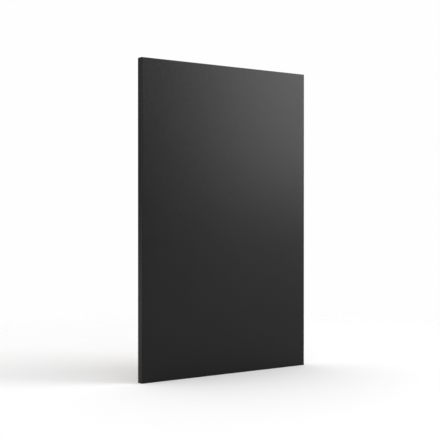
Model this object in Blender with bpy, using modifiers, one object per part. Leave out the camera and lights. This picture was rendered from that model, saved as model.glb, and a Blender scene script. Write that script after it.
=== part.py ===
"""Kick plate: a folded sheet-metal tray over a board core, held to a door by foam mounting tape.

The plate stands upright on its short edge. X runs across it, Y runs through it from the face (-Y) to
the door side (+Y), and Z is up. The origin is the middle of the bottom edge. Units are metres.
"""

import math

import bmesh
import bpy
from mathutils import Matrix, Vector

# Driving dimensions
PLATE_WIDTH = 0.300
PLATE_HEIGHT = 0.460
TRAY_DEPTH = 0.011
SHEET = 0.0012
FOLD_RADIUS = 0.0008
FOLD_SEGMENTS = 5
SEAM_GAP = 0.00035

# The gap between pieces that touch, and the clearance round the core
GAP = 0.0003

BOND_FILM = 0.0004
BOND_FILM_INSET = 0.004
CORE = 0.008
CORE_CHAMFER = 0.001

TAPE = 0.0012
TAPE_WIDTH = 0.025
TAPE_EDGE_INSET = 0.010
RUNG_CLEARANCE = 0.012
RUNG_NAMES = ("bottom", "lower_mid", "upper_mid", "top")

LINER = 0.0002
LINER_TAB = 0.008
LINER_CORNER_RADIUS = 0.002
LINER_CORNER_SEGMENTS = 4

# Depths behind the face, layer by layer
FILM_FRONT = SHEET + GAP
CORE_FRONT = FILM_FRONT + BOND_FILM + GAP
TAPE_FRONT = CORE_FRONT + CORE + GAP
LINER_FRONT = TAPE_FRONT + TAPE + GAP
OVERALL_DEPTH = LINER_FRONT + LINER
FACE_Y = -OVERALL_DEPTH / 2

# Tape layout: two upright rails, with rungs between them
RAIL_X = PLATE_WIDTH / 2 - TAPE_EDGE_INSET - TAPE_WIDTH / 2
RAIL_LENGTH = PLATE_HEIGHT - 2 * TAPE_EDGE_INSET
RUNG_LENGTH = 2 * (RAIL_X - TAPE_WIDTH / 2 - RUNG_CLEARANCE)
LOWEST_RUNG_Z = TAPE_EDGE_INSET + TAPE_WIDTH / 2
RUNG_PITCH = (PLATE_HEIGHT - 2 * LOWEST_RUNG_Z) / (len(RUNG_NAMES) - 1)

# How far a cutter runs past the surface that it cuts
OVERRUN = 0.002

# Edges that turn by more than this are shaded sharp
SHARP_ANGLE = math.radians(30)

MIDDLE_Z = PLATE_HEIGHT / 2

# The colour and roughness of each material. None is bare metal: the sheet is powder-coated
FINISHES = {
    "black_powder_coat": ((0.0045, 0.0045, 0.0046), 0.31),
    "bond_film": ((0.62, 0.55, 0.38), 0.30),
    "moisture_board": ((0.21, 0.21, 0.115), 0.85),
    "acrylic_foam": ((0.055, 0.056, 0.058), 0.75),
    "liner_film": ((0.42, 0.017, 0.014), 0.22),
}


def clear_scene():
    """Removes every object that is already in the file."""
    for leftover in list(bpy.data.objects):
        bpy.data.objects.remove(leftover, do_unlink=True)


def new_collection(name):
    """An empty collection in the scene."""
    collection = bpy.data.collections.new(name)
    bpy.context.scene.collection.children.link(collection)
    return collection


def make_material(name):
    """A Principled material with its listed finish."""
    colour, roughness = FINISHES[name]
    material = bpy.data.materials.new(name)
    material.use_nodes = True
    shader = material.node_tree.nodes["Principled BSDF"]
    shader.inputs["Base Color"].default_value = (*colour, 1.0)
    shader.inputs["Roughness"].default_value = roughness
    shader.inputs["Metallic"].default_value = 0.0
    material.diffuse_color = (*colour, 1.0)
    return material


def block_mesh(name, size):
    """A box mesh centred on its own origin, with its size already in the mesh."""
    mesh = bpy.data.meshes.new(name)
    shape = bmesh.new()
    bmesh.ops.create_cube(shape, size=1.0)
    bmesh.ops.scale(shape, vec=Vector(size), verts=shape.verts)
    shape.to_mesh(mesh)
    shape.free()
    return mesh


def add_object(name, mesh, location, collection, material=None):
    """Links a mesh to its collection as an object at a place."""
    obj = bpy.data.objects.new(name, mesh)
    obj.location = location
    collection.objects.link(obj)
    if material is not None:
        mesh.materials.append(material)
    return obj


def add_cutter(name, size, location, collection):
    """A box that only cuts: it is drawn as wire and left out of renders."""
    cutter = add_object(name, block_mesh(name, size), location, collection)
    cutter.hide_render = True
    cutter.display_type = "WIRE"
    return cutter


def cut(obj, cutter):
    """Takes the cutter's volume out of the object."""
    difference = obj.modifiers.new("cut_" + cutter.name, "BOOLEAN")
    difference.operation = "DIFFERENCE"
    difference.solver = "EXACT"
    difference.object = cutter


def layer_y(front, thickness):
    """The middle, in Y, of a layer that starts at a depth behind the face."""
    return FACE_Y + front + thickness / 2


def bevel_edges(mesh, chosen, radius, segments):
    """Rounds the edges of a mesh that the function chosen picks, and shades the rounds smooth."""
    shape = bmesh.new()
    shape.from_mesh(mesh)
    edges = [edge for edge in shape.edges if chosen(edge)]
    bmesh.ops.bevel(
        shape,
        geom=edges,
        offset=radius,
        segments=segments,
        profile=0.5,
        affect="EDGES",
    )
    shape.to_mesh(mesh)
    shape.free()
    mesh.shade_smooth()
    mesh.set_sharp_from_angle(angle=SHARP_ANGLE)


def round_slab_mesh(name, size, radius, segments):
    """A flat slab that lies in XZ, with its four outline corners rounded."""
    mesh = block_mesh(name, size)

    def runs_through(edge):
        direction = edge.verts[1].co - edge.verts[0].co
        return abs(direction.y) > abs(direction.x) + abs(direction.z)

    bevel_edges(mesh, runs_through, radius, segments)
    return mesh


def make_face_tray(parts, cutters, material):
    """The visible face with its four returned flanges, folded from one sheet, open at the back.

    Each corner keeps the open seam where two neighbouring flanges meet on the mitre.
    """
    mesh = block_mesh("face_tray", (PLATE_WIDTH, TRAY_DEPTH, PLATE_HEIGHT))

    def on_face(edge):
        return all(vert.co.y < 0 for vert in edge.verts)

    bevel_edges(mesh, on_face, FOLD_RADIUS, FOLD_SEGMENTS)
    tray_y = layer_y(0.0, TRAY_DEPTH)
    tray = add_object("face_tray", mesh, (0.0, tray_y, MIDDLE_Z), parts, material)

    hollow_size = (
        PLATE_WIDTH - 2 * SHEET,
        TRAY_DEPTH - SHEET + OVERRUN,
        PLATE_HEIGHT - 2 * SHEET,
    )
    hollow_y = layer_y(SHEET, TRAY_DEPTH - SHEET + OVERRUN)
    hollow = add_cutter("tray_hollow", hollow_size, (0.0, hollow_y, MIDDLE_Z), cutters)
    cut(tray, hollow)

    seam_size = (
        SEAM_GAP,
        TRAY_DEPTH - FOLD_RADIUS + OVERRUN,
        2 * (SHEET * math.sqrt(2) + OVERRUN),
    )
    seam_y = layer_y(FOLD_RADIUS, TRAY_DEPTH - FOLD_RADIUS + OVERRUN)
    for side_name, side in (("left", -1), ("right", 1)):
        for end_name, end in (("bottom", -1), ("top", 1)):
            corner_x = side * (PLATE_WIDTH - SHEET) / 2
            corner_z = MIDDLE_Z + end * (PLATE_HEIGHT - SHEET) / 2
            seam = add_cutter(
                f"seam_{end_name}_{side_name}",
                seam_size,
                (corner_x, seam_y, corner_z),
                cutters,
            )
            seam.rotation_euler.y = side * end * math.radians(45)
            cut(tray, seam)
    return tray


def make_core(parts, film_material, board_material):
    """The adhesive film behind the face, and the board that fills the tray and stiffens it."""
    inner_width = PLATE_WIDTH - 2 * SHEET
    inner_height = PLATE_HEIGHT - 2 * SHEET
    film_size = (
        inner_width - 2 * BOND_FILM_INSET,
        BOND_FILM,
        inner_height - 2 * BOND_FILM_INSET,
    )
    film_y = layer_y(FILM_FRONT, BOND_FILM)
    add_object(
        "core_bond_film",
        block_mesh("core_bond_film", film_size),
        (0.0, film_y, MIDDLE_Z),
        parts,
        film_material,
    )

    board_size = (inner_width - 2 * GAP, CORE, inner_height - 2 * GAP)
    board = add_object(
        "core_board",
        block_mesh("core_board", board_size),
        (0.0, layer_y(CORE_FRONT, CORE), MIDDLE_Z),
        parts,
        board_material,
    )
    arris = board.modifiers.new("eased_arris", "BEVEL")
    arris.width = CORE_CHAMFER
    arris.segments = 1


def make_strip(place, centre, length, turn, parts, tape_material, liner_material):
    """One length of foam tape and its peel-off liner, which is longer by a tab at one end.

    The strip is made upright, with the tab at its top, then turned about Y.
    """
    centre_x, centre_z = centre
    tape = add_object(
        "tape_" + place,
        block_mesh("tape_" + place, (TAPE_WIDTH, TAPE, length)),
        (centre_x, layer_y(TAPE_FRONT, TAPE), centre_z),
        parts,
        tape_material,
    )
    tape.rotation_euler.y = turn

    liner_mesh = round_slab_mesh(
        "liner_" + place,
        (TAPE_WIDTH, LINER, length + LINER_TAB),
        LINER_CORNER_RADIUS,
        LINER_CORNER_SEGMENTS,
    )
    liner_mesh.transform(Matrix.Translation((0.0, 0.0, LINER_TAB / 2)))
    liner = add_object(
        "liner_" + place,
        liner_mesh,
        (centre_x, layer_y(LINER_FRONT, LINER), centre_z),
        parts,
        liner_material,
    )
    liner.rotation_euler.y = turn


def make_mounting_strips(parts, tape_material, liner_material):
    """Two full-height rails of tape, and the rungs between them."""
    upright = 0.0
    level = math.radians(90)
    for name, side in (("left", -1), ("right", 1)):
        rail_centre = (side * RAIL_X, MIDDLE_Z)
        make_strip(name, rail_centre, RAIL_LENGTH, upright, parts, tape_material, liner_material)
    for index, name in enumerate(RUNG_NAMES):
        rung_centre = (0.0, LOWEST_RUNG_Z + index * RUNG_PITCH)
        make_strip(name, rung_centre, RUNG_LENGTH, level, parts, tape_material, liner_material)


def main():
    clear_scene()
    parts = new_collection("kick_plate")
    cutters = new_collection("kick_plate_cutters")

    make_face_tray(parts, cutters, make_material("black_powder_coat"))
    make_core(parts, make_material("bond_film"), make_material("moisture_board"))
    make_mounting_strips(parts, make_material("acrylic_foam"), make_material("liner_film"))


main()
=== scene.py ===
"""The looks of the kick plate: a black powder-coated tray, its board core, foam tapes and red liners."""

import math

import bmesh
import bpy
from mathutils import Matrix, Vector, noise


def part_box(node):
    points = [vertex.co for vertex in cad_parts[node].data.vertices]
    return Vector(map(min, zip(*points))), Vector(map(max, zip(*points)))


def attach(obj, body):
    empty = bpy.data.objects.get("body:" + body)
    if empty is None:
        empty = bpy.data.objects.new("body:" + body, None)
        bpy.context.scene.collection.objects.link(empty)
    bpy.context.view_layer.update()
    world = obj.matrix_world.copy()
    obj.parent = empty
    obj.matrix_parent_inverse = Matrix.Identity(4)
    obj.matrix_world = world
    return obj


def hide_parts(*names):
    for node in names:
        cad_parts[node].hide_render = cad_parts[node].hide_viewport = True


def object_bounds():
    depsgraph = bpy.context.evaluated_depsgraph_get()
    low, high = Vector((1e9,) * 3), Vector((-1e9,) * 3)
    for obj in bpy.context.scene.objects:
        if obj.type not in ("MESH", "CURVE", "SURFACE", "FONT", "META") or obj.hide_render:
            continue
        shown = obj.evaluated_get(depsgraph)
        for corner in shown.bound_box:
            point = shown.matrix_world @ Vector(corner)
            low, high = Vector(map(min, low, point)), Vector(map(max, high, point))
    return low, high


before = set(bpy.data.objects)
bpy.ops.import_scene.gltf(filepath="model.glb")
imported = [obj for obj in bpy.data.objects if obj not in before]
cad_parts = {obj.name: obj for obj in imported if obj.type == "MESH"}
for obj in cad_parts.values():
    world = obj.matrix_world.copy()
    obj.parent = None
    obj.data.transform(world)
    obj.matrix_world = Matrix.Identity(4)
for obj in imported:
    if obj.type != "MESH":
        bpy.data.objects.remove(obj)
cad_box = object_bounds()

MM = 0.001

# ---------------------------------------------------------------- sizes, in metres

# The folded sheet
SHEET = 1.2 * MM
FOLD_RADIUS = 0.8 * MM
FOLD_STEPS = 10
INNER_FOLD_RADIUS = 0.3 * MM
INNER_FOLD_STEPS = 4
REAR_EDGE_RADIUS = 0.2 * MM
REAR_EDGE_STEPS = 4
SEAM_GAP = 0.35 * MM
CORNER_STEPS = 4
# Each flat stretch of the sheet has an edge this far from its folds, so that it is shaded flat
SUPPORT = 0.4 * MM

# The board
ARRIS = 1.0 * MM
ARRIS_STEPS = 4

# The foam tape
FOAM_BULGE = 0.16 * MM
FOAM_EDGE_WANDER = 0.10 * MM
FOAM_WANDER_LENGTH = 9 * MM
FOAM_SIDE_STEPS = 8
FOAM_STATION = 4.0 * MM
LAYER_CLEARANCE = 0.05 * MM

# The release film
FILM = 0.10 * MM
FILM_CORNER = 2.0 * MM
FILM_STATION = 2.0 * MM
FILM_END_CROWDING = 0.15
FILM_ACROSS = 12
BLISTER_LENGTH = 38 * MM
BLISTER_WIDTH = 15 * MM
BLISTER_STEEPNESS = 1.5
BLISTER_SHARE = 0.35
TAB = 8.0 * MM
TAB_CURL = 0.9 * MM

# Each strip and each side of it reads its own part of the noise
FOAM_SIDE_SEED = 3.7
FOAM_STRIP_SEED = 100
FILM_STRIP_SEED_X = 90
FILM_STRIP_SEED_Z = 70

# Faces that meet at more than this are shaded as separate faces
SHARP_ANGLE = math.radians(32)

RAILS = ("left", "right")
RUNGS = ("bottom", "lower_mid", "upper_mid", "top")

# ---------------------------------------------------------------- camera

CAMERA_LEFT = 0.8764
CAMERA_IN_FRONT = 1.1906
CAMERA_HEIGHT = 0.2374
CAMERA_YAW = math.radians(35.90)
CAMERA_TILT_DOWN = math.radians(0.278)
CAMERA_LENS_MM = 80.90
SENSOR_MM = 36.0


def make_camera(face_y):
    """The camera stands to the left of the plate, level with its middle, and looks across its face."""
    data = bpy.data.cameras.new("camera")
    data.lens = CAMERA_LENS_MM
    data.sensor_width = SENSOR_MM
    camera = bpy.data.objects.new("camera", data)
    camera.location = (-CAMERA_LEFT, face_y - CAMERA_IN_FRONT, CAMERA_HEIGHT)
    camera.rotation_euler = (math.radians(90) - CAMERA_TILT_DOWN, 0.0, -CAMERA_YAW)
    bpy.context.collection.objects.link(camera)
    bpy.context.scene.camera = camera


# ---------------------------------------------------------------- node helpers


class Graph:
    """A material's node tree, with short calls for the nodes used here."""

    # Most of what a noise texture gives lies between these two
    NOISE_LOW = 0.3
    NOISE_HIGH = 0.7

    def __init__(self, name):
        self.material = bpy.data.materials.new(name)
        self.material.use_nodes = True
        self.nodes = self.material.node_tree.nodes
        self.links = self.material.node_tree.links
        self.shader = self.nodes["Principled BSDF"]
        self.place = self.nodes.new("ShaderNodeTexCoord").outputs["Object"]

    def put(self, value, socket):
        """Links an output, or sets a number or colour, on an input."""
        if isinstance(value, bpy.types.NodeSocket):
            self.links.new(value, socket)
        else:
            socket.default_value = value

    def stretched(self, lengthening, turn=(0.0, 0.0, 0.0)):
        """The object's own coordinates, with a pattern lengthened along each axis and then turned."""
        mapping = self.nodes.new("ShaderNodeMapping")
        mapping.vector_type = "TEXTURE"
        mapping.inputs["Rotation"].default_value = turn
        mapping.inputs["Scale"].default_value = lengthening
        self.links.new(self.place, mapping.inputs["Vector"])
        return mapping.outputs["Vector"]

    def noise(self, wavelength, detail=2.0, roughness=0.5, at=None):
        """Cloudy noise whose blobs are about one wavelength across, from 0 to 1."""
        node = self.nodes.new("ShaderNodeTexNoise")
        node.inputs["Scale"].default_value = 1.0 / wavelength
        node.inputs["Detail"].default_value = detail
        node.inputs["Roughness"].default_value = roughness
        self.links.new(at or self.place, node.inputs["Vector"])
        return node.outputs["Fac"]

    def cells(self, spacing):
        """Distance from the nearest of a scatter of points, where the spacing counts as 1."""
        node = self.nodes.new("ShaderNodeTexVoronoi")
        node.inputs["Scale"].default_value = 1.0 / spacing
        self.links.new(self.place, node.inputs["Vector"])
        return node.outputs["Distance"]

    def remap(self, value, low, high, to_low=0.0, to_high=1.0):
        """A value spread from one range to another, held at its ends."""
        node = self.nodes.new("ShaderNodeMapRange")
        node.clamp = True
        self.put(value, node.inputs["Value"])
        node.inputs["From Min"].default_value = low
        node.inputs["From Max"].default_value = high
        node.inputs["To Min"].default_value = to_low
        node.inputs["To Max"].default_value = to_high
        return node.outputs["Result"]

    def spread(self, value, to_low=0.0, to_high=1.0):
        """A noise's usual range spread over another."""
        return self.remap(value, self.NOISE_LOW, self.NOISE_HIGH, to_low, to_high)

    def math(self, operation, *values):
        """One step of arithmetic on two or three values."""
        node = self.nodes.new("ShaderNodeMath")
        node.operation = operation
        for value, socket in zip(values, node.inputs):
            self.put(value, socket)
        return node.outputs["Value"]

    def mix(self, factor, first, second):
        """From the first colour to the second as the factor goes from 0 to 1."""
        node = self.nodes.new("ShaderNodeMix")
        node.data_type = "RGBA"
        self.put(factor, node.inputs["Factor"])
        self.put(first, node.inputs["A"])
        self.put(second, node.inputs["B"])
        return node.outputs["Result"]

    def bump(self, height, depth, normal=None):
        """Relief of a depth in metres, laid on the shader or on another relief."""
        node = self.nodes.new("ShaderNodeBump")
        node.inputs["Distance"].default_value = depth
        self.put(height, node.inputs["Height"])
        if normal is not None:
            self.links.new(normal, node.inputs["Normal"])
        return node.outputs["Normal"]

    def finish(self, colour, roughness, normal):
        """Feeds the shader and returns the material."""
        self.links.new(colour, self.shader.inputs["Base Color"])
        self.links.new(roughness, self.shader.inputs["Roughness"])
        self.links.new(normal, self.shader.inputs["Normal"])
        return self.material


def rgb(red, green, blue):
    """A colour with full alpha."""
    return (red, green, blue, 1.0)


# ---------------------------------------------------------------- materials
#
# Sizes and depths are in metres, and strengths and roughnesses go from 0 to 1. A RANGE is the part of a
# texture's values over which a look changes from one end to the other.

COAT_CLOUD_SIZE = 60 * MM
COAT_PEEL_SIZE = 2.4 * MM
COAT_PEEL_DEPTH = 0.07 * MM
COAT_GRAIN_SIZE = 0.35 * MM
COAT_GRAIN_DEPTH = 0.015 * MM
COAT_DARK = rgb(0.0038, 0.0038, 0.0039)
COAT_LIGHT = rgb(0.0052, 0.0052, 0.0053)
COAT_ROUGHNESS = 0.283
COAT_ROUGHER_CLOUDS = 0.05
COAT_ROUGHER_GRAIN = 0.01
DUST_SPACING = 7.0 * MM
DUST_RADIUS_IN_SPACINGS = 0.035
DUST_STRENGTH = 0.5
DUST = rgb(0.05, 0.05, 0.05)


def powder_coat():
    """Satin black powder coat: a faint orange peel under a finer grain, with cloudy changes of gloss."""
    g = Graph("black_powder_coat")
    clouds = g.noise(COAT_CLOUD_SIZE, detail=3.0)
    grain = g.noise(COAT_GRAIN_SIZE, detail=2.0)
    peel = g.noise(COAT_PEEL_SIZE, detail=1.0)
    tone = g.math("ADD", g.math("MULTIPLY", clouds, 0.5), g.math("MULTIPLY", grain, 0.5))
    colour = g.mix(g.spread(tone), COAT_DARK, COAT_LIGHT)
    dust = g.remap(g.cells(DUST_SPACING), 0.0, DUST_RADIUS_IN_SPACINGS, 1.0, 0.0)
    colour = g.mix(g.math("MULTIPLY", dust, DUST_STRENGTH), colour, DUST)
    cloudy = g.math("MULTIPLY_ADD", clouds, COAT_ROUGHER_CLOUDS, COAT_ROUGHNESS)
    roughness = g.math("ADD", cloudy, g.spread(grain, -COAT_ROUGHER_GRAIN, COAT_ROUGHER_GRAIN))
    relief = g.bump(peel, COAT_PEEL_DEPTH)
    relief = g.bump(grain, COAT_GRAIN_DEPTH, relief)
    return g.finish(colour, roughness, relief)


FIBRE_ANGLES = (8, 43, 77, 112, 146)
FIBRE_LENGTHENING = 4.5
FIBRE_THICKNESS = 0.45 * MM
FIBRE_THICKER_EACH_LAYER = 0.1 * MM
FIBRE_DEPTH = 0.04 * MM
FIBRE_ROUGHNESS = 0.90
FIBRE_SANDED_ROUGHNESS = 0.74
FIBRE_COLOUR_RANGE = (0.55, 0.80)
FIBRE_SANDED_RANGE = (0.5, 0.85)
FIBRE_DARK = rgb(0.185, 0.180, 0.096)
FIBRE_LIGHT = rgb(0.310, 0.297, 0.180)
BLOTCH_SIZE = 11 * MM
BLOTCH_STRENGTH = 0.45
BLOTCH_RANGE = (0.35, 0.7)
BLOTCH = rgb(0.165, 0.185, 0.095)
CHIP_SPACING = 3.1 * MM
CHIP_STRENGTH = 0.6
CHIP_EDGE_RANGE = (0.05, 0.12)
CHIP = rgb(0.075, 0.060, 0.035)


def fibreboard():
    """Moisture-resistant fibreboard: short fibres at every angle, dyed green, on a sanded face."""
    g = Graph("moisture_board")
    fibres = None
    for index, degrees in enumerate(FIBRE_ANGLES):
        turned = g.stretched((1.0, 1.0, FIBRE_LENGTHENING), (0.0, math.radians(degrees), 0.0))
        thickness = FIBRE_THICKNESS + FIBRE_THICKER_EACH_LAYER * index
        layer = g.noise(thickness, detail=2.0, roughness=0.6, at=turned)
        fibres = layer if fibres is None else g.math("MAXIMUM", fibres, layer)
    blotches = g.noise(BLOTCH_SIZE, detail=4.0)
    colour = g.mix(g.remap(fibres, *FIBRE_COLOUR_RANGE), FIBRE_DARK, FIBRE_LIGHT)
    colour = g.mix(g.remap(blotches, *BLOTCH_RANGE, 0.0, BLOTCH_STRENGTH), colour, BLOTCH)
    chips = g.remap(g.cells(CHIP_SPACING), *CHIP_EDGE_RANGE, 1.0, 0.0)
    colour = g.mix(g.math("MULTIPLY", chips, CHIP_STRENGTH), colour, CHIP)
    roughness = g.remap(fibres, *FIBRE_SANDED_RANGE, FIBRE_ROUGHNESS, FIBRE_SANDED_ROUGHNESS)
    return g.finish(colour, roughness, g.bump(fibres, FIBRE_DEPTH))


FOAM_CELL_SIZE = 0.32 * MM
FOAM_CELL_DEPTH = 0.05 * MM
FOAM_CELL_COLOUR_RANGE = (0.1, 0.6)
FOAM_CELL_ROUGHNESS_RANGE = (0.0, 0.7)
FOAM_HOLLOW_ROUGHNESS = 0.88
FOAM_WALL_ROUGHNESS = 0.72
# Painted shade: the colour given to the hollow of each cut cell, darker than its walls
FOAM_HOLLOW_SHADE = rgb(0.030, 0.031, 0.033)
FOAM_WALL = rgb(0.075, 0.077, 0.080)
FOAM_MOTTLE_SIZE = 5 * MM
FOAM_MOTTLE_STRENGTH = 0.3
FOAM_MOTTLE = rgb(0.050, 0.051, 0.053)


def closed_cell_foam():
    """Dark grey acrylic foam: small closed cells, cut open along the sides, with painted shade darkening
    each cell's hollow.
    """
    g = Graph("acrylic_foam")
    cells = g.cells(FOAM_CELL_SIZE)
    mottle = g.noise(FOAM_MOTTLE_SIZE, detail=3.0)
    # Painted shade: colour goes dark towards each cell's hollow, where the relief is lowest, and lighter
    # on the walls
    colour = g.mix(g.remap(cells, *FOAM_CELL_COLOUR_RANGE), FOAM_HOLLOW_SHADE, FOAM_WALL)
    colour = g.mix(g.spread(mottle, 0.0, FOAM_MOTTLE_STRENGTH), colour, FOAM_MOTTLE)
    roughness = g.remap(cells, *FOAM_CELL_ROUGHNESS_RANGE, FOAM_HOLLOW_ROUGHNESS, FOAM_WALL_ROUGHNESS)
    return g.finish(colour, roughness, g.bump(cells, FOAM_CELL_DEPTH))


FILM_LINE_WIDTH = 0.9 * MM
FILM_LINE_LENGTHENING = 30.0
FILM_CLOUD_SIZE = 24 * MM
FILM_CLOUD_STRENGTH = 0.3
FILM_PEBBLE_SIZE = 0.5 * MM
FILM_RELIEF_DEPTH = 0.003 * MM
FILM_ROUGHNESS = 0.17
FILM_CLOUDY_ROUGHNESS = 0.25
FILM_ROUGHER_LINES = 0.04
FILM_LINE_DARK = rgb(0.405, 0.016, 0.013)
FILM_LINE_LIGHT = rgb(0.455, 0.020, 0.016)
FILM_CLOUD = rgb(0.350, 0.012, 0.010)


def release_film(along):
    """Glossy red polyethylene film with faint drawing lines along its length and a fine pebble."""
    g = Graph("liner_film_" + along)
    upright = (1.0, 1.0, FILM_LINE_LENGTHENING)
    level = (FILM_LINE_LENGTHENING, 1.0, 1.0)
    lengthened = g.stretched(level if along == "across" else upright)
    lines = g.noise(FILM_LINE_WIDTH, detail=3.0, roughness=0.6, at=lengthened)
    clouds = g.noise(FILM_CLOUD_SIZE, detail=3.0)
    pebble = g.cells(FILM_PEBBLE_SIZE)
    colour = g.mix(g.spread(lines), FILM_LINE_DARK, FILM_LINE_LIGHT)
    colour = g.mix(g.spread(clouds, 0.0, FILM_CLOUD_STRENGTH), colour, FILM_CLOUD)
    cloudy = g.spread(clouds, FILM_ROUGHNESS, FILM_CLOUDY_ROUGHNESS)
    roughness = g.math("ADD", cloudy, g.spread(lines, 0.0, FILM_ROUGHER_LINES))
    relief = g.bump(pebble, FILM_RELIEF_DEPTH)
    relief = g.bump(lines, FILM_RELIEF_DEPTH, relief)
    return g.finish(colour, roughness, relief)


THREAD_WIDTH = 0.8 * MM
THREAD_LENGTHENING = 20.0
THREAD_DEPTH = 0.02 * MM
THREAD_COLOUR_RANGE = (0.35, 0.65)
THREAD_DARK = rgb(0.52, 0.43, 0.26)
THREAD_LIGHT = rgb(0.68, 0.60, 0.42)
GLUE_CLOUD_SIZE = 20 * MM
GLUE_CLOUD_STRENGTH = 0.3
GLUE_ROUGHNESS = 0.25
GLUE_CLOUDY_ROUGHNESS = 0.4
GLUE_CLOUD = rgb(0.45, 0.36, 0.20)


def bond_film_material():
    """Amber adhesive film with a fine web of carrier threads."""
    g = Graph("bond_film")
    lengthened = g.stretched((1.0, 1.0, THREAD_LENGTHENING))
    threads = g.noise(THREAD_WIDTH, detail=2.0, at=lengthened)
    clouds = g.noise(GLUE_CLOUD_SIZE, detail=3.0)
    colour = g.mix(g.remap(threads, *THREAD_COLOUR_RANGE), THREAD_DARK, THREAD_LIGHT)
    colour = g.mix(g.spread(clouds, 0.0, GLUE_CLOUD_STRENGTH), colour, GLUE_CLOUD)
    roughness = g.spread(clouds, GLUE_ROUGHNESS, GLUE_CLOUDY_ROUGHNESS)
    return g.finish(colour, roughness, g.bump(threads, THREAD_DEPTH))


# ---------------------------------------------------------------- mesh helpers


def add_piece(name, shape, material, slot, *replaced):
    """Makes an object of a bmesh, on the part's one body, and hides the nodes it stands for."""
    bmesh.ops.recalc_face_normals(shape, faces=shape.faces)
    mesh = bpy.data.meshes.new(name)
    shape.to_mesh(mesh)
    shape.free()
    mesh.materials.append(material)
    mesh.shade_smooth()
    mesh.set_sharp_from_angle(angle=SHARP_ANGLE)
    piece = bpy.data.objects.new(name, mesh)
    bpy.context.collection.objects.link(piece)
    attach(piece, "root")
    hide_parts(*replaced)


def arc(centre, radius, start, end, steps):
    """Points round part of a circle, both ends included. Angles are in degrees."""
    points = []
    for step in range(steps + 1):
        angle = math.radians(start + (end - start) * step / steps)
        points.append((centre[0] + radius * math.cos(angle), centre[1] + radius * math.sin(angle)))
    return points


def bridge(shape, first, second, closed=True):
    """Quads between two rows of the same number of vertices."""
    count = len(first)
    for i in range(count if closed else count - 1):
        j = (i + 1) % count
        shape.faces.new((first[i], first[j], second[j], second[i]))


# ---------------------------------------------------------------- the folded tray


# Each corner of the plate, counter-clockwise from the front: its side in X, its side in Z and the angle,
# in degrees, at which its rounding starts
CORNERS = ((1, -1, -90), (1, 1, 0), (-1, 1, 90), (-1, -1, 180))


def rounded_outline(half_width, half_height, radius):
    """The points of a rectangle with rounded corners, one corner after another."""
    points = []
    for side_x, side_z, start in CORNERS:
        centre = (side_x * (half_width - radius), side_z * (half_height - radius))
        points += arc(centre, radius, start, start + 90, CORNER_STEPS)
    return points


def make_tray(material):
    """The sheet, folded back on four sides. Flanges part at each corner, where the mitre leaves a seam.

    The section is given as (inset from the side, depth behind the face). Each of its points becomes a
    line round the plate: a whole ring as far back as the inner fold, and four lengths further back.
    """
    low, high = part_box("face_tray")
    depth = high.y - low.y
    middle = (low + high) / 2
    half_width = (high.x - low.x) / 2
    half_height = (high.z - low.z) / 2
    reach = SEAM_GAP / math.sqrt(2)
    inner_fold_end = SHEET + INNER_FOLD_RADIUS
    rear = depth - REAR_EDGE_RADIUS

    face_rings = [(FOLD_RADIUS + SUPPORT, 0.0)]
    face_rings += arc((FOLD_RADIUS, FOLD_RADIUS), FOLD_RADIUS, 270, 180, FOLD_STEPS)
    face_rings += [(0.0, inner_fold_end)]
    flange = [(0.0, inner_fold_end), (0.0, rear - SUPPORT)]
    flange += arc((REAR_EDGE_RADIUS, rear), REAR_EDGE_RADIUS, 180, 90, REAR_EDGE_STEPS)
    flange += arc((SHEET - REAR_EDGE_RADIUS, rear), REAR_EDGE_RADIUS, 90, 0, REAR_EDGE_STEPS)
    flange += [(SHEET, rear - SUPPORT), (SHEET, inner_fold_end)]
    inner_centre = (inner_fold_end, inner_fold_end)
    back_rings = arc(inner_centre, INNER_FOLD_RADIUS, 180, 270, INNER_FOLD_STEPS)
    back_rings += [(inner_fold_end + SUPPORT, SHEET)]

    shape = bmesh.new()

    def whole_ring(inset, behind):
        ring = []
        for x, z in rounded_outline(half_width - inset, half_height - inset, reach):
            place = (middle.x + x, low.y + behind, middle.z + z)
            ring.append(shape.verts.new(place))
        return ring

    face_side = [whole_ring(*point) for point in face_rings]
    back_side = [whole_ring(*point) for point in back_rings]
    for rings in (face_side, back_side):
        for first, second in zip(rings, rings[1:]):
            bridge(shape, first, second)
    shape.faces.new(face_side[0])
    shape.faces.new(back_side[-1])

    outer, inner = face_side[-1], back_side[0]
    per_corner = CORNER_STEPS + 1
    for corner in range(len(CORNERS)):
        first = corner * per_corner
        for i in range(first, first + CORNER_STEPS):
            shape.faces.new((outer[i], outer[i + 1], inner[i + 1], inner[i]))

        # The flange that runs from this corner to the next
        start = first + CORNER_STEPS
        end = ((corner + 1) * per_corner) % len(outer)
        sections = []
        for at in (start, end):
            section = [outer[at]]
            for inset, behind in flange[1:-1]:
                place = outer[at].co.lerp(inner[at].co, inset / SHEET)
                place.y = low.y + behind
                section.append(shape.verts.new(place))
            section.append(inner[at])
            sections.append(section)
        bridge(shape, sections[0], sections[1], closed=False)
        shape.faces.new(sections[0])
        shape.faces.new(sections[1])

    add_piece("folded_tray", shape, material, "black_powder_coat", "face_tray")


# ---------------------------------------------------------------- board, tape and film


def make_board(material):
    """The fibreboard, with its arrises rounded over."""
    low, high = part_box("core_board")
    shape = bmesh.new()
    bmesh.ops.create_cube(shape, size=1.0)
    bmesh.ops.scale(shape, vec=high - low, verts=shape.verts)
    bmesh.ops.translate(shape, vec=(low + high) / 2, verts=shape.verts)
    bmesh.ops.bevel(
        shape,
        geom=shape.edges[:],
        offset=ARRIS,
        segments=ARRIS_STEPS,
        profile=0.5,
        affect="EDGES",
    )
    add_piece("fibreboard_core", shape, material, "moisture_board", "core_board")


def strip_axes(low, high):
    """(centre, direction along, direction across, half length, half width) of a strip."""
    centre = (low + high) / 2
    size = high - low
    if size.z > size.x:
        return centre, Vector((0, 0, 1)), Vector((1, 0, 0)), size.z / 2, size.x / 2
    return centre, Vector((1, 0, 0)), Vector((0, 0, 1)), size.x / 2, size.z / 2


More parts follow.
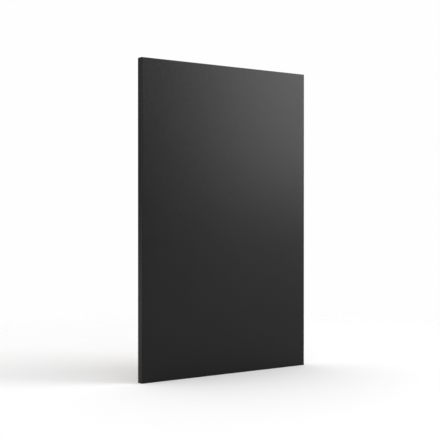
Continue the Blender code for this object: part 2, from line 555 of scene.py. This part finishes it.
def make_tape(place, material):
    """A length of foam tape, whose sides bulge a little and whose cut edges wander."""
    low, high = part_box("tape_" + place)
    centre, along, across, half_length, half_width = strip_axes(low, high)
    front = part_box("core_board")[1].y + LAYER_CLEARANCE
    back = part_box("liner_" + place)[0].y - LAYER_CLEARANCE
    half_depth = (back - front) / 2
    mid_y = (front + back) / 2
    straight = half_width - FOAM_BULGE - FOAM_EDGE_WANDER

    shape = bmesh.new()
    stations = round(2 * half_length / FOAM_STATION)
    strip_seed = FOAM_STRIP_SEED * (centre.x + centre.z)
    rings = []
    for station in range(stations + 1):
        distance = -half_length + 2 * half_length * station / stations
        ring = []
        for side in (1, -1):
            sample = Vector((distance / FOAM_WANDER_LENGTH, FOAM_SIDE_SEED * side, strip_seed))
            wander = FOAM_EDGE_WANDER * noise.noise(sample)
            for step in range(FOAM_SIDE_STEPS + 1):
                turn = math.pi * (step / FOAM_SIDE_STEPS - 0.5) * side
                offset = side * (straight + wander + FOAM_BULGE * math.cos(turn))
                point = centre + along * distance + across * offset
                place_y = mid_y + half_depth * math.sin(turn)
                ring.append(shape.verts.new((point.x, place_y, point.z)))
        rings.append(ring)
    for first, second in zip(rings, rings[1:]):
        bridge(shape, first, second)
    shape.faces.new(rings[0])
    shape.faces.new(rings[-1])
    add_piece("foam_" + place, shape, material, "acrylic_foam", "tape_" + place)


def sheet_rim(rows):
    """The vertices round the edge of a grid of rows, in order."""
    right_side = [row[-1] for row in rows[1:-1]]
    left_side = [row[0] for row in rows[1:-1]]
    return rows[0] + right_side + rows[-1][::-1] + left_side[::-1]


def make_liner(place, material):
    """A length of release film, which lies on its tape and lifts in low blisters. Its tab curls in."""
    low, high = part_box("liner_" + place)
    centre, along, across, half_length, half_width = strip_axes(low, high)
    lying = low.y - LAYER_CLEARANCE + FILM
    lifted = high.y
    strip_seed = FILM_STRIP_SEED_X * centre.x + FILM_STRIP_SEED_Z * centre.z
    outer, inner = [], []
    shape = bmesh.new()
    stations = round(2 * half_length / FILM_STATION)
    for station in range(stations + 1):
        # Rows are closer together near the two ends, where the corners are round
        crowded = (1 - math.cos(math.pi * station / stations)) / 2
        even = station / stations
        share = FILM_END_CROWDING * crowded + (1 - FILM_END_CROWDING) * even
        distance = half_length * (2 * share - 1)
        from_end = half_length - abs(distance)
        narrowing = 0.0
        if from_end < FILM_CORNER:
            short = FILM_CORNER - from_end
            narrowing = FILM_CORNER - math.sqrt(max(0.0, FILM_CORNER**2 - short**2))
        into_tab = max(0.0, distance - (half_length - TAB))
        curl = TAB_CURL * (into_tab / TAB) ** 2
        outer_row, inner_row = [], []
        for i in range(FILM_ACROSS + 1):
            offset = (half_width - narrowing) * (2 * i / FILM_ACROSS - 1)
            point = centre + along * distance + across * offset
            sample = Vector((offset / BLISTER_WIDTH, distance / BLISTER_LENGTH, strip_seed))
            swell = BLISTER_STEEPNESS * noise.noise(sample) + BLISTER_SHARE
            blister = min(1.0, max(0.0, swell))
            y = lying + (lifted - lying) * blister - curl
            outer_row.append(shape.verts.new((point.x, y, point.z)))
            inner_row.append(shape.verts.new((point.x, y - FILM, point.z)))
        outer.append(outer_row)
        inner.append(inner_row)
    for rows in (outer, inner):
        for first, second in zip(rows, rows[1:]):
            bridge(shape, first, second, closed=False)
    bridge(shape, sheet_rim(outer), sheet_rim(inner))
    add_piece("film_" + place, shape, material, "liner_film", "liner_" + place)


# ---------------------------------------------------------------- studio

FLOOR_SIZE = 14.0
FLOOR_SEEN = 0.903
FLOOR_BOUNCE = 0.40
FADE_START = 0.40
FADE_END = 0.95
SKY_SEEN = 0.99
SKY_ABOVE = 1.5
SKY_POWER = 1.4


def make_floor():
    """A pale floor that fades into the white backdrop all round, so that no horizon shows.

    It is white where it is seen, and darker where it only throws light back.
    """
    bpy.ops.mesh.primitive_plane_add(size=FLOOR_SIZE)
    floor = bpy.context.object
    floor.name = "floor"
    material = bpy.data.materials.new("floor")
    material.use_nodes = True
    nodes, links = material.node_tree.nodes, material.node_tree.links
    nodes.remove(nodes["Principled BSDF"])
    seen = nodes.new("ShaderNodeBsdfDiffuse")
    seen.inputs["Color"].default_value = rgb(FLOOR_SEEN, FLOOR_SEEN, FLOOR_SEEN)
    clear = nodes.new("ShaderNodeBsdfTransparent")
    bounced = nodes.new("ShaderNodeBsdfDiffuse")
    bounced.inputs["Color"].default_value = rgb(FLOOR_BOUNCE, FLOOR_BOUNCE, FLOOR_BOUNCE)

    place = nodes.new("ShaderNodeTexCoord").outputs["Object"]
    distance = nodes.new("ShaderNodeVectorMath")
    distance.operation = "LENGTH"
    links.new(place, distance.inputs["Vector"])
    fade = nodes.new("ShaderNodeMapRange")
    fade.interpolation_type = "SMOOTHSTEP"
    fade.inputs["From Min"].default_value = FADE_START
    fade.inputs["From Max"].default_value = FADE_END
    links.new(distance.outputs["Value"], fade.inputs["Value"])
    faded = nodes.new("ShaderNodeMixShader")
    links.new(fade.outputs["Result"], faded.inputs["Fac"])
    links.new(seen.outputs["BSDF"], faded.inputs[1])
    links.new(clear.outputs["BSDF"], faded.inputs[2])

    path = nodes.new("ShaderNodeLightPath")
    blend = nodes.new("ShaderNodeMixShader")
    links.new(path.outputs["Is Camera Ray"], blend.inputs["Fac"])
    links.new(bounced.outputs["BSDF"], blend.inputs[1])
    links.new(faded.outputs["Shader"], blend.inputs[2])
    links.new(blend.outputs["Shader"], nodes["Material Output"].inputs["Surface"])
    floor.data.materials.append(material)


def make_sky():
    """A white backdrop to the eye. To everything else it is a dome that brightens towards the zenith."""
    world = bpy.data.worlds.new("studio")
    bpy.context.scene.world = world
    world.use_nodes = True
    nodes, links = world.node_tree.nodes, world.node_tree.links
    background = nodes["Background"]
    direction = nodes.new("ShaderNodeTexCoord").outputs["Generated"]
    split = nodes.new("ShaderNodeSeparateXYZ")
    links.new(direction, split.inputs["Vector"])
    dome = split.outputs["Z"]
    for operation, number in (("MAXIMUM", 0.0), ("POWER", SKY_POWER), ("MULTIPLY", SKY_ABOVE)):
        step = nodes.new("ShaderNodeMath")
        step.operation = operation
        links.new(dome, step.inputs[0])
        step.inputs[1].default_value = number
        dome = step.outputs["Value"]
    path = nodes.new("ShaderNodeLightPath")
    strength = nodes.new("ShaderNodeMix")
    links.new(path.outputs["Is Camera Ray"], strength.inputs["Factor"])
    links.new(dome, strength.inputs["A"])
    strength.inputs["B"].default_value = SKY_SEEN
    background.inputs["Color"].default_value = rgb(1.0, 1.0, 1.0)
    links.new(strength.outputs["Result"], background.inputs["Strength"])


def softbox(name, azimuth, elevation, distance, width, height, radiance):
    """A soft panel facing the middle of the plate. Azimuth 0 is before the face, and 90 at its right."""
    data = bpy.data.lights.new(name, "AREA")
    data.shape = "RECTANGLE"
    data.size = width
    data.size_y = height
    data.energy = radiance * math.pi * width * height
    panel = bpy.data.objects.new(name, data)
    a, e = math.radians(azimuth), math.radians(elevation)
    away = Vector((math.sin(a) * math.cos(e), -math.cos(a) * math.cos(e), math.sin(e)))
    target = Vector((0.0, 0.0, (cad_box[0].z + cad_box[1].z) / 2))
    panel.location = target + away * distance
    panel.rotation_euler = (-away).to_track_quat("-Z", "Y").to_euler()
    panel.visible_camera = False
    bpy.context.collection.objects.link(panel)
    return panel


def light_studio():
    """The key at the front right, a panel at the left, and one behind that only glosses the back."""
    make_floor()
    make_sky()
    softbox("key", azimuth=50.0, elevation=27.5, distance=2.2, width=1.13, height=2.05, radiance=3.3)
    softbox("side", azimuth=-109, elevation=4.0, distance=1.5, width=1.3, height=1.0, radiance=1.65)
    sheen = softbox(
        "rear_sheen", azimuth=148, elevation=14, distance=2.4, width=1.7, height=1.5, radiance=1.8
    )
    sheen.visible_diffuse = False
    settings = bpy.context.scene.view_settings
    settings.view_transform = "Standard"
    settings.look = "None"
    settings.exposure = 0.0
    settings.gamma = 1.0


# ---------------------------------------------------------------- assembly


def main():
    face_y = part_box("face_tray")[0].y
    make_camera(face_y)
    light_studio()
    make_tray(powder_coat())
    make_board(fibreboard())
    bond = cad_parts["core_bond_film"]
    bond.data.materials.clear()
    bond.data.materials.append(bond_film_material())
    foam = closed_cell_foam()
    upright_film = release_film("up")
    level_film = release_film("across")
    for place in RAILS + RUNGS:
        make_tape(place, foam)
        make_liner(place, upright_film if place in RAILS else level_film)


main()
